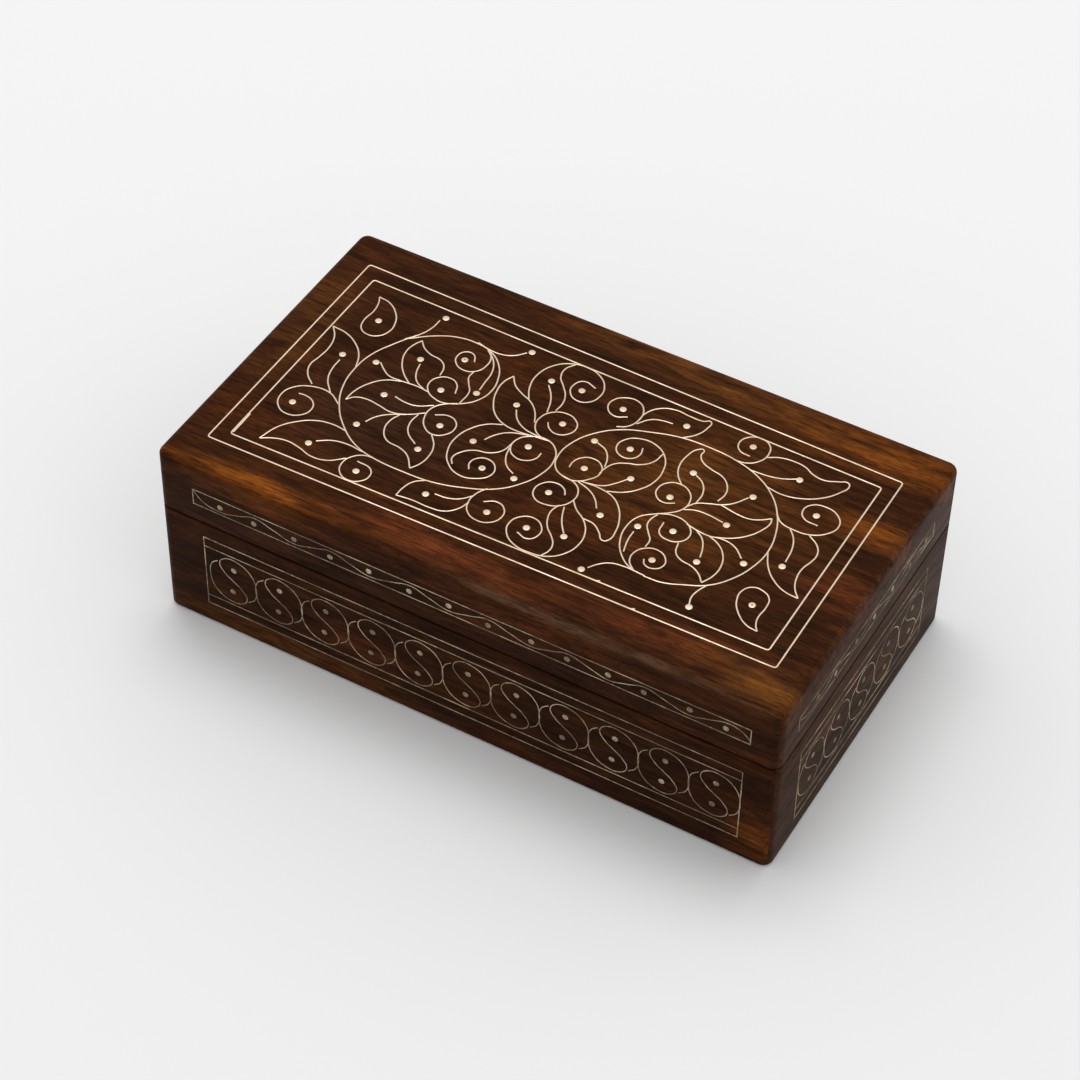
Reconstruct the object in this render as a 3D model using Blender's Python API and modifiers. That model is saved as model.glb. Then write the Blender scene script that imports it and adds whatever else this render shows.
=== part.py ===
"""A small inlaid wooden box with a hinged lid.

The base is four mitred walls round a bottom board, and the lid is four mitred rims under a top board.
Brass strips lie flush in grooves as borders and frames, two surface hinges join the lid to the back wall,
and each half is lined with a thin velvet tray. The underside is at z = 0, the front faces -Y, and the
lid turns about a pin axis behind the back wall.
"""

import math

import bmesh
import bpy
from mathutils import Matrix, Vector

MM = 0.001

# Outside of the closed box.
LENGTH = 101.6 * MM
WIDTH = 57.0 * MM
HEIGHT = 32.2 * MM
SEAM_HEIGHT = 21.0 * MM
SEAM_GAP = 0.3 * MM

# Boards.
WALL = 5.0 * MM
BOTTOM_THICKNESS = 3.0 * MM
TOP_THICKNESS = 3.9 * MM
GLUE_GAP = 0.04 * MM
CORNER_RADIUS = 1.6 * MM
TOP_EDGE_RADIUS = 1.2 * MM
BOTTOM_EDGE_RADIUS = 0.7 * MM
SEAM_EDGE_RADIUS = 0.3 * MM
CORNER_SEGMENTS = 6
EDGE_SEGMENTS = 3
OVERSHOOT = 2.0 * MM

# Velvet trays.
LINING = 0.6 * MM
LINING_GAP = 0.05 * MM
LINING_REVEAL = 1.2 * MM

# Brass strips and the grooves that hold them.
STRIP_WIDTH = 0.3 * MM
STRIP_DEPTH = 0.6 * MM
GROOVE_CLEARANCE = 0.02 * MM

# Corners of the two borders on the lid, as (x, y) from front left, anticlockwise.
# They are laid by hand and run a little out of square with the lid.
TOP_OUTER_BORDER = [(-45.8, -22.3), (45.7, -20.8), (45.3, 20.5), (-45.7, 22.0)]
TOP_INNER_BORDER = [(-43.3, -20.1), (43.4, -18.4), (43.1, 18.0), (-43.3, 19.3)]

# Side frames: ends along the face, then the heights of the long strips.
LID_FRONT_FRAME = {"ends": (-44.6, 46.3), "strips": (24.4, 27.3)}
LID_END_FRAME = {"ends": (-22.8, 20.7), "strips": (24.1, 26.8)}
BASE_FRONT_FRAME = {"ends": (-43.3, 45.6), "strips": (4.2, 6.0, 16.3, 18.1)}
BASE_END_FRAME = {"ends": (-20.9, 20.6), "strips": (3.4, 5.3, 15.8, 17.6)}

# Hinges: a leaf on each half, three knuckles, a pin, and two nails through each leaf.
HINGE_SPACING = 56.0 * MM
HINGE_WIDTH = 14.0 * MM
KNUCKLE_RADIUS = 1.1 * MM
KNUCKLE_LENGTH = 4.6 * MM
KNUCKLE_GAP = 0.1 * MM
LEAF_THICKNESS = 0.5 * MM
LEAF_HEIGHT = 6.5 * MM
LEAF_CLEARANCE = 0.05 * MM
NOTCH_CLEARANCE = 0.25 * MM
LUG_INSET = 0.15 * MM
LUG_TIP = 0.2 * MM
PIN_RADIUS = 0.5 * MM
PIN_CLEARANCE = 0.07 * MM
NAIL_SPACING = 8.4 * MM
NAIL_HEIGHT = 3.9 * MM
NAIL_HEAD_RADIUS = 0.8 * MM
NAIL_HEAD_HEIGHT = 0.35 * MM
NAIL_RADIUS = 0.35 * MM
NAIL_LENGTH = 3.0 * MM
HOLE_CLEARANCE = 0.07 * MM
ROUND_STEPS = 16

BASE_TOP = SEAM_HEIGHT - SEAM_GAP / 2
LID_BOTTOM = SEAM_HEIGHT + SEAM_GAP / 2
RIM_TOP = HEIGHT - TOP_THICKNESS
HINGE_AXIS = Vector((0, WIDTH / 2 + LEAF_CLEARANCE + KNUCKLE_RADIUS, SEAM_HEIGHT))

# Each side of the box: its quarter turn from the front, and half the plan size towards it and along it.
SIDES = {
    "front": (0, WIDTH / 2, LENGTH / 2),
    "right": (90, LENGTH / 2, WIDTH / 2),
    "back": (180, WIDTH / 2, LENGTH / 2),
    "left": (270, LENGTH / 2, WIDTH / 2),
}


def clear_scene():
    for old in list(bpy.data.objects):
        bpy.data.objects.remove(old)


def new_collection(name):
    collection = bpy.data.collections.new(name)
    bpy.context.scene.collection.children.link(collection)
    return collection


def make_material(name, colour, roughness, metallic=0.0):
    material = bpy.data.materials.new(name)
    material.use_nodes = True
    shader = material.node_tree.nodes["Principled BSDF"]
    shader.inputs["Base Color"].default_value = (*colour, 1.0)
    shader.inputs["Roughness"].default_value = roughness
    shader.inputs["Metallic"].default_value = metallic
    return material


clear_scene()
PARTS = new_collection("inlaid_wooden_box")
CUTTERS = new_collection("cutters")

LID_PIVOT = bpy.data.objects.new("lid_pivot", None)
LID_PIVOT.location = HINGE_AXIS
PARTS.objects.link(LID_PIVOT)

ROSEWOOD = make_material("rosewood", (0.085, 0.028, 0.015), 0.38)
BRASS = make_material("inlay_brass", (0.80, 0.66, 0.42), 0.32, 1.0)
HINGE_BRASS = make_material("hinge_brass", (0.68, 0.50, 0.24), 0.35, 1.0)
VELVET = make_material("maroon_velvet", (0.20, 0.012, 0.025), 0.95)


def add_part(name, mesh, material, on_lid, location=(0, 0, 0), turn=(0, 0, 0)):
    """Adds one named piece. A piece of the lid hangs from the empty on the pin axis."""
    mesh.materials.clear()
    mesh.materials.append(material)
    part = bpy.data.objects.new(name, mesh)
    PARTS.objects.link(part)
    part.location = location
    part.rotation_euler = turn
    if on_lid:
        part.parent = LID_PIVOT
        part.matrix_parent_inverse = Matrix.Translation(-HINGE_AXIS)
    return part


def add_cutter(name, mesh, location=(0, 0, 0), turn=(0, 0, 0)):
    cutter = bpy.data.objects.new(name, mesh)
    CUTTERS.objects.link(cutter)
    cutter.location = location
    cutter.rotation_euler = turn
    cutter.hide_render = True
    cutter.display_type = "WIRE"
    return cutter


def boolean(part, operation, cutter):
    modifier = part.modifiers.new(f"{operation.lower()} {cutter.name}", "BOOLEAN")
    modifier.operation = operation
    modifier.solver = "EXACT"
    modifier.object = cutter


def to_mesh(bm, name):
    mesh = bpy.data.meshes.new(name)
    bm.to_mesh(mesh)
    bm.free()
    return mesh


def new_block(size):
    """A box centred on the origin, as a bmesh."""
    bm = bmesh.new()
    bmesh.ops.create_cube(bm, size=1.0)
    bmesh.ops.scale(bm, vec=size, verts=bm.verts)
    return bm


def bevel_edges(bm, edges, radius, segments):
    bmesh.ops.bevel(bm, geom=edges, offset=radius, segments=segments, profile=0.5, affect="EDGES")


def is_upright(edge):
    start, end = (vert.co for vert in edge.verts)
    return math.isclose(start.x, end.x, abs_tol=1e-7) and math.isclose(start.y, end.y, abs_tol=1e-7)


def lies_at(edge, z):
    return all(math.isclose(vert.co.z, z, abs_tol=1e-7) for vert in edge.verts)


def rounded_blank(name, low, high, low_radius, high_radius):
    """The outside of one half of the box, solid: round upright corners and eased edges."""
    bm = new_block((LENGTH, WIDTH, high - low))
    bevel_edges(bm, [e for e in bm.edges if is_upright(e)], CORNER_RADIUS, CORNER_SEGMENTS)
    half = (high - low) / 2
    for z, radius in ((-half, low_radius), (half, high_radius)):
        rim = [e for e in bm.edges if lies_at(e, z)]
        bevel_edges(bm, rim, radius, EDGE_SEGMENTS)
    return add_cutter(name, to_mesh(bm, name), location=(0, 0, (low + high) / 2))


def mitred_bar(distance, half_length, low, high):
    """A bar along X whose outer face is past y = -distance and whose ends are cut at 45 degrees."""
    depth = WALL + OVERSHOOT
    bm = new_block((2 * (half_length + OVERSHOOT - GLUE_GAP), depth, high - low))
    for vert in bm.verts:
        if vert.co.y > 0:
            vert.co.x -= math.copysign(depth, vert.co.x)
    bmesh.ops.translate(bm, verts=bm.verts, vec=(0, depth / 2 - distance - OVERSHOOT, 0))
    return bm


def add_wall(name, side, low, high, blank, on_lid):
    """One wall or rim: a mitred bar trimmed to the rounded outside of its half of the box."""
    quarter_turn, distance, half_length = SIDES[side]
    bm = mitred_bar(distance, half_length, low, high)
    turn = (0, 0, math.radians(quarter_turn))
    wall = add_part(name, to_mesh(bm, name), ROSEWOOD, on_lid, (0, 0, (low + high) / 2), turn)
    boolean(wall, "INTERSECT", blank)
    return wall


def offset_loop(corners, distance):
    """The corners of a convex outline, given anticlockwise, moved outwards by a distance."""
    moved = []
    for index, corner in enumerate(corners):
        into = (corner - corners[index - 1]).normalized()
        out_of = (corners[(index + 1) % len(corners)] - corner).normalized()
        normals = [Vector((run.y, -run.x)) for run in (into, out_of)]
        bisector = (normals[0] + normals[1]).normalized()
        moved.append(corner + bisector * (distance / bisector.dot(normals[0])))
    return moved


def flat_mesh(name, loops, thickness):
    """A flat plate from its outline and the loops of its holes, centred on z = 0."""
    curve = bpy.data.curves.new(name, "CURVE")
    curve.dimensions = "2D"
    curve.fill_mode = "BOTH"
    curve.extrude = thickness / 2
    for loop in loops:
        spline = curve.splines.new("POLY")
        spline.points.add(len(loop) - 1)
        for point, corner in zip(spline.points, loop):
            point.co = (corner[0], corner[1], 0, 1)
        spline.use_cyclic_u = True
    drawing = bpy.data.objects.new(name, curve)
    CUTTERS.objects.link(drawing)
    graph = bpy.context.evaluated_depsgraph_get()
    mesh = bpy.data.meshes.new_from_object(drawing.evaluated_get(graph))
    bpy.data.objects.remove(drawing)
    bm = bmesh.new()
    bm.from_mesh(mesh)
    bmesh.ops.remove_doubles(bm, verts=bm.verts, dist=1e-7)
    bmesh.ops.recalc_face_normals(bm, faces=bm.faces)
    bm.to_mesh(mesh)
    bm.free()
    return mesh


def border_loops(corners_mm, grow):
    """Outer and inner outline of a strip laid round four corners."""
    corners = [Vector(corner) * MM for corner in corners_mm]
    half = STRIP_WIDTH / 2 + grow
    return [offset_loop(corners, half), offset_loop(corners, -half)]


def frame_loops(frame, grow):
    """Outline of a frame with long strips at several heights, and a hole between each pair of strips."""
    half = STRIP_WIDTH / 2 + grow
    left, right = (end * MM for end in frame["ends"])
    heights = [height * MM for height in frame["strips"]]

    def rectangle(low, high, inset):
        return [
            Vector((left + inset, low + inset)),
            Vector((right - inset, low + inset)),
            Vector((right - inset, high - inset)),
            Vector((left + inset, high - inset)),
        ]

    holes = [rectangle(low, high, half) for low, high in zip(heights, heights[1:])]
    return [rectangle(heights[0], heights[-1], -half), *holes]


def lay_strips(name, loops_of, design, board, on_lid, location, turn):
    """Lays a brass strip flush in a groove of the board."""
    groove = flat_mesh(f"{name}_groove", loops_of(design, GROOVE_CLEARANCE), 2 * STRIP_DEPTH)
    face = Vector(location)
    inwards = -(Matrix.Rotation(turn[2], 3, "Z") @ Matrix.Rotation(turn[0], 3, "X") @ Vector((0, 0, 1)))
    deepest = face + inwards * GROOVE_CLEARANCE
    boolean(board, "DIFFERENCE", add_cutter(f"{name}_groove", groove, deepest, turn))
    strip = flat_mesh(name, loops_of(design, 0), STRIP_DEPTH)
    add_part(name, strip, BRASS, on_lid, face + inwards * STRIP_DEPTH / 2, turn)


def lay_side_frame(name, side, design, board, on_lid):
    """Lays a frame on the outside of the board on one side."""
    quarter_turn, distance, _ = SIDES[side]
    turn = (math.radians(90), 0, math.radians(quarter_turn))
    face = Matrix.Rotation(turn[2], 3, "Z") @ Vector((0, -distance, 0))
    lay_strips(name, frame_loops, design, board, on_lid, face, turn)


def cylinder_along_x(radius, low, high, steps=ROUND_STEPS):
    bm = bmesh.new()
    bmesh.ops.create_cone(
        bm, cap_ends=True, segments=steps, radius1=radius, radius2=radius, depth=high - low
    )
    bmesh.ops.rotate(bm, verts=bm.verts, matrix=Matrix.Rotation(math.radians(90), 3, "Y"))
    bmesh.ops.translate(bm, verts=bm.verts, vec=((low + high) / 2, 0, 0))
    return bm


def add_lining(name, low, high, open_end, on_lid):
    """A thin velvet tray against the walls, open towards the seam. open_end is 1 upwards, -1 downwards."""
    gap = 2 * (WALL + LINING_GAP)
    bm = new_block((LENGTH - gap, WIDTH - gap, high - low))
    opening = [face for face in bm.faces if face.normal.z * open_end > 0.5]
    bmesh.ops.delete(bm, geom=opening, context="FACES_ONLY")
    mesh = to_mesh(bm, name)
    tray = add_part(name, mesh, VELVET, on_lid, location=(0, 0, (low + high) / 2))
    shell = tray.modifiers.new("thickness", "SOLIDIFY")
    shell.thickness = LINING
    shell.offset = -1.0
    shell.use_even_offset = True


def nail_positions(x, half):
    """Centres of the two nails of a leaf, on the pin axis' plane. half is 1 on the lid, -1 on the base."""
    z = HINGE_AXIS.z + half * NAIL_HEIGHT
    return [Vector((x + offset, HINGE_AXIS.y, z)) for offset in (-NAIL_SPACING / 2, NAIL_SPACING / 2)]


def add_nail_holes(name, x, half):
    """A cutter of two drills, right through a leaf and deep into the wood behind it."""
    bm = bmesh.new()
    for centre in nail_positions(x, half):
        drill = bmesh.ops.create_cone(
            bm,
            cap_ends=True,
            segments=ROUND_STEPS,
            radius1=NAIL_RADIUS + HOLE_CLEARANCE,
            radius2=NAIL_RADIUS + HOLE_CLEARANCE,
            depth=2 * (NAIL_LENGTH + KNUCKLE_RADIUS),
        )["verts"]
        bmesh.ops.rotate(bm, verts=drill, matrix=Matrix.Rotation(math.radians(90), 3, "X"))
        bmesh.ops.translate(bm, verts=drill, vec=centre)
    return add_cutter(name, to_mesh(bm, name))


def leaf_outline(half, own_knuckles):
    """Outline of a leaf in its plane: a plate, with a lug up into each of its own knuckles."""
    root = KNUCKLE_RADIUS + NOTCH_CLEARANCE
    side = HINGE_WIDTH / 2
    outline = [(-side, LEAF_HEIGHT), (-side, root)]
    for low, high in own_knuckles:
        left, right = low + LUG_INSET, high - LUG_INSET
        outline += [(left, root), (left, LUG_TIP), (right, LUG_TIP), (right, root)]
    outline += [(side, root), (side, LEAF_HEIGHT)]
    return [(x, half * z) for x, z in outline]


def add_leaf(name, x, half, own_knuckles, holes):
    """A hinge leaf: the flat plate, its knuckles round the pin, the bore and the nail holes."""
    on_lid = half > 0
    bm = bmesh.new()
    outline = leaf_outline(half, own_knuckles)
    corners = [bm.verts.new((along, -KNUCKLE_RADIUS, z)) for along, z in outline]
    plate = bmesh.ops.extrude_face_region(bm, geom=[bm.faces.new(corners)], use_keep_orig=True)["geom"]
    lifted = [item for item in plate if isinstance(item, bmesh.types.BMVert)]
    bmesh.ops.translate(bm, verts=lifted, vec=(0, LEAF_THICKNESS, 0))
    bmesh.ops.recalc_face_normals(bm, faces=bm.faces)
    origin = HINGE_AXIS + Vector((x, 0, 0))
    leaf = add_part(name, to_mesh(bm, name), HINGE_BRASS, on_lid, origin)
    for number, (low, high) in enumerate(own_knuckles):
        knuckle = to_mesh(cylinder_along_x(KNUCKLE_RADIUS, low, high), f"{name}_knuckle")
        boolean(leaf, "UNION", add_cutter(f"{name}_knuckle_{number}", knuckle, origin))
    bore = cylinder_along_x(PIN_RADIUS + PIN_CLEARANCE, -HINGE_WIDTH, HINGE_WIDTH)
    boolean(leaf, "DIFFERENCE", add_cutter(f"{name}_bore", to_mesh(bore, f"{name}_bore"), origin))
    boolean(leaf, "DIFFERENCE", holes)


def add_nail(name, centre, on_lid):
    """A domed nail, turned from a profile about its own axis, with its head on the leaf."""
    profile = [
        (0.0, NAIL_HEAD_HEIGHT),
        (0.55 * NAIL_HEAD_RADIUS, 0.8 * NAIL_HEAD_HEIGHT),
        (NAIL_HEAD_RADIUS, 0.2 * NAIL_HEAD_HEIGHT),
        (NAIL_HEAD_RADIUS, 0.0),
        (NAIL_RADIUS, 0.0),
        (NAIL_RADIUS, 2 * NAIL_RADIUS - NAIL_LENGTH),
        (0.0, -NAIL_LENGTH),
    ]
    mesh = bpy.data.meshes.new(name)
    points = [(radius, 0, z) for radius, z in profile]
    mesh.from_pydata(points, [(i, i + 1) for i in range(len(points) - 1)], [])
    seat = -KNUCKLE_RADIUS + LEAF_THICKNESS + LEAF_CLEARANCE
    turn = (math.radians(-90), 0, 0)
    nail = add_part(name, mesh, HINGE_BRASS, on_lid, centre + Vector((0, seat, 0)), turn)
    screw = nail.modifiers.new("turned", "SCREW")
    screw.steps = ROUND_STEPS
    screw.render_steps = ROUND_STEPS
    screw.use_merge_vertices = True
    screw.merge_threshold = 1e-6


def add_hinge(label, x, base_wall, lid_rim):
    side = HINGE_WIDTH / 2
    inner = side - KNUCKLE_LENGTH
    outer_knuckles = [(-side, -inner), (inner, side)]
    middle_knuckle = [(KNUCKLE_GAP - inner, inner - KNUCKLE_GAP)]
    for half, body, knuckles, board in (
        (-1, "base", outer_knuckles, base_wall),
        (1, "lid", middle_knuckle, lid_rim),
    ):
        holes = add_nail_holes(f"{label}_hinge_{body}_holes", x, half)
        boolean(board, "DIFFERENCE", holes)
        add_leaf(f"{label}_hinge_{body}_leaf", x, half, knuckles, holes)
        for number, centre in enumerate(nail_positions(x, half), start=1):
            add_nail(f"{label}_hinge_{body}_nail_{number}", centre, half > 0)
    name = f"{label}_hinge_pin"
    pin = to_mesh(cylinder_along_x(PIN_RADIUS, -side, side), name)
    add_part(name, pin, HINGE_BRASS, False, HINGE_AXIS + Vector((x, 0, 0)))


def build_base():
    """The lower half: walls, bottom board, lining and the frames on the front and both ends."""
    blank = rounded_blank("base_blank", 0, BASE_TOP, BOTTOM_EDGE_RADIUS, SEAM_EDGE_RADIUS)
    walls = {}
    for side in SIDES:
        low, high = -OVERSHOOT, BASE_TOP + OVERSHOOT
        walls[side] = add_wall(f"base_{side}_wall", side, low, high, blank, False)
    inset = 2 * (WALL + GLUE_GAP)
    board = new_block((LENGTH - inset, WIDTH - inset, BOTTOM_THICKNESS))
    name = "base_bottom_board"
    add_part(name, to_mesh(board, name), ROSEWOOD, False, (0, 0, BOTTOM_THICKNESS / 2))
    floor = BOTTOM_THICKNESS + LINING_GAP
    add_lining("base_lining", floor, BASE_TOP - LINING_REVEAL, 1, False)
    lay_side_frame("base_front_frame", "front", BASE_FRONT_FRAME, walls["front"], False)
    for side in ("left", "right"):
        lay_side_frame(f"base_{side}_frame", side, BASE_END_FRAME, walls[side], False)
    return walls["back"]


def build_lid():
    """The upper half: rims, top board with its two borders, lining and the frames on three sides."""
    blank = rounded_blank("lid_blank", LID_BOTTOM, HEIGHT, SEAM_EDGE_RADIUS, TOP_EDGE_RADIUS)
    rims = {}
    for side in SIDES:
        low, high = LID_BOTTOM - OVERSHOOT, RIM_TOP
        rims[side] = add_wall(f"lid_{side}_rim", side, low, high, blank, True)
    low, high = RIM_TOP + GLUE_GAP, HEIGHT + OVERSHOOT
    size = (LENGTH + OVERSHOOT, WIDTH + OVERSHOOT, high - low)
    name = "lid_top_board"
    top = add_part(name, to_mesh(new_block(size), name), ROSEWOOD, True, (0, 0, (low + high) / 2))
    boolean(top, "INTERSECT", blank)
    ceiling = RIM_TOP - LINING_GAP
    add_lining("lid_lining", LID_BOTTOM + LINING_REVEAL, ceiling, -1, True)
    for name, corners in (
        ("lid_outer_border", TOP_OUTER_BORDER),
        ("lid_inner_border", TOP_INNER_BORDER),
    ):
        lay_strips(name, border_loops, corners, top, True, (0, 0, HEIGHT), (0, 0, 0))
    lay_side_frame("lid_front_frame", "front", LID_FRONT_FRAME, rims["front"], True)
    for side in ("left", "right"):
        lay_side_frame(f"lid_{side}_frame", side, LID_END_FRAME, rims[side], True)
    return rims["back"]


def shade_round_parts():
    """Smooth shading on round faces, with the edges of boards and knuckles kept sharp."""
    for part in PARTS.objects:
        if part.type == "MESH":
            part.data.shade_smooth()
            part.data.set_sharp_from_angle(angle=math.radians(35))


back_wall = build_base()
back_rim = build_lid()
add_hinge("left", -HINGE_SPACING / 2, back_wall, back_rim)
add_hinge("right", HINGE_SPACING / 2, back_wall, back_rim)
shade_round_parts()
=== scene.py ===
"""The finished look of a small rosewood box with brass inlay, surface hinges and a velvet lining."""

import math

import bpy
from mathutils import Matrix, Vector


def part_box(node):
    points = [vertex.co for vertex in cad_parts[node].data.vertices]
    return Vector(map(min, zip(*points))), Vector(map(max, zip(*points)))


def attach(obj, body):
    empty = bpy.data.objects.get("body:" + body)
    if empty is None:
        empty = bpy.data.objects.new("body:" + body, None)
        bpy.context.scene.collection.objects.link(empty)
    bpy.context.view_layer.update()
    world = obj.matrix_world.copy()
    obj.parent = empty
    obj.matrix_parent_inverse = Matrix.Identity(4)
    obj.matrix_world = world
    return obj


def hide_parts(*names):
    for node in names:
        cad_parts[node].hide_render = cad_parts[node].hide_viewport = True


MM = 0.001

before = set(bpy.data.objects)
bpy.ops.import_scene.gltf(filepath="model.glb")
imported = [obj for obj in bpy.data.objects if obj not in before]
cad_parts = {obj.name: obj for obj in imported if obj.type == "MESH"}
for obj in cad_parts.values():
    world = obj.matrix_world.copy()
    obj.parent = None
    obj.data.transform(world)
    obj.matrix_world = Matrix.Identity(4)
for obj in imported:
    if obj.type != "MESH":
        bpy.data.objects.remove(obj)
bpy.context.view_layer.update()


# ---- sizes taken from the frame

def corner(node, index):
    """The lowest (0) or highest (1) corner of a CAD node."""
    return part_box(node)[index]


HALF_LENGTH = corner("lid_top_board", 1).x
HALF_WIDTH = corner("lid_top_board", 1).y
HEIGHT = corner("lid_top_board", 1).z
RIM_TOP = corner("lid_front_rim", 1).z
BASE_TOP = corner("base_front_wall", 1).z
LID_BOTTOM = corner("lid_front_rim", 0).z
WALL = corner("base_front_wall", 1).y - corner("base_front_wall", 0).y
CORNER_RADIUS = 1.6 * MM
TOP_EDGE_RADIUS = 1.2 * MM
BOTTOM_EDGE_RADIUS = 0.7 * MM
SEAM_EDGE_RADIUS = 0.2 * MM
INNER_EDGE_RADIUS = 0.25 * MM
BOARD_EDGE_RADIUS = 0.2 * MM
# Half the gap between two glued boards.
GLUE_LINE = 0.008 * MM
# Coordinates closer than NEAR are the same, and vertices closer than MERGE are made one.
NEAR = 1e-6
MERGE = 1e-7

# Brass strips stand a hair above the wood, and pegs a hair above the strips.
BORDER_WIDTH = 0.25 * MM
WIRE_WIDTH = 0.225 * MM
SIDE_WIDTH = 0.17 * MM
STRIP_PROUD = 0.035 * MM
STRIP_DEPTH = 0.45 * MM
STRIP_LIFT = 0.004 * MM
PEG_RADIUS = 0.52 * MM
SIDE_PEG_RADIUS = 0.47 * MM
TOP_PEG_LIFT = 0.012 * MM
SIDE_PEG_LIFT = 0.008 * MM

# Velvet trays.
TRAY_CORNER_RADIUS = 0.9 * MM
TRAY_EDGE_RADIUS = 0.7 * MM
CLOTH_THICKNESS = 0.55 * MM

# Hinges.
KNUCKLE_RADIUS = 1.1 * MM
KNUCKLE_LENGTH = 4.6 * MM
KNUCKLE_GAP = 0.1 * MM
PLATE_THICKNESS = 0.5 * MM
PLATE_ROOT = KNUCKLE_RADIUS + 0.25 * MM
PLATE_CORNER_RADIUS = 1.0 * MM
PLATE_EASE = 0.06 * MM
KNUCKLE_EASE = 0.08 * MM
PIN_EASE = 0.15 * MM
LUG_INSET = 0.12 * MM
LUG_OVERLAP = 0.3 * MM
LUG_TIP = 0.2 * MM
PIN_RADIUS = 0.5 * MM
BORE_RADIUS = 0.57 * MM
NAIL_HEAD_HEIGHT = 0.35 * MM


# ---- the inlay's drawing, in millimetres

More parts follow.
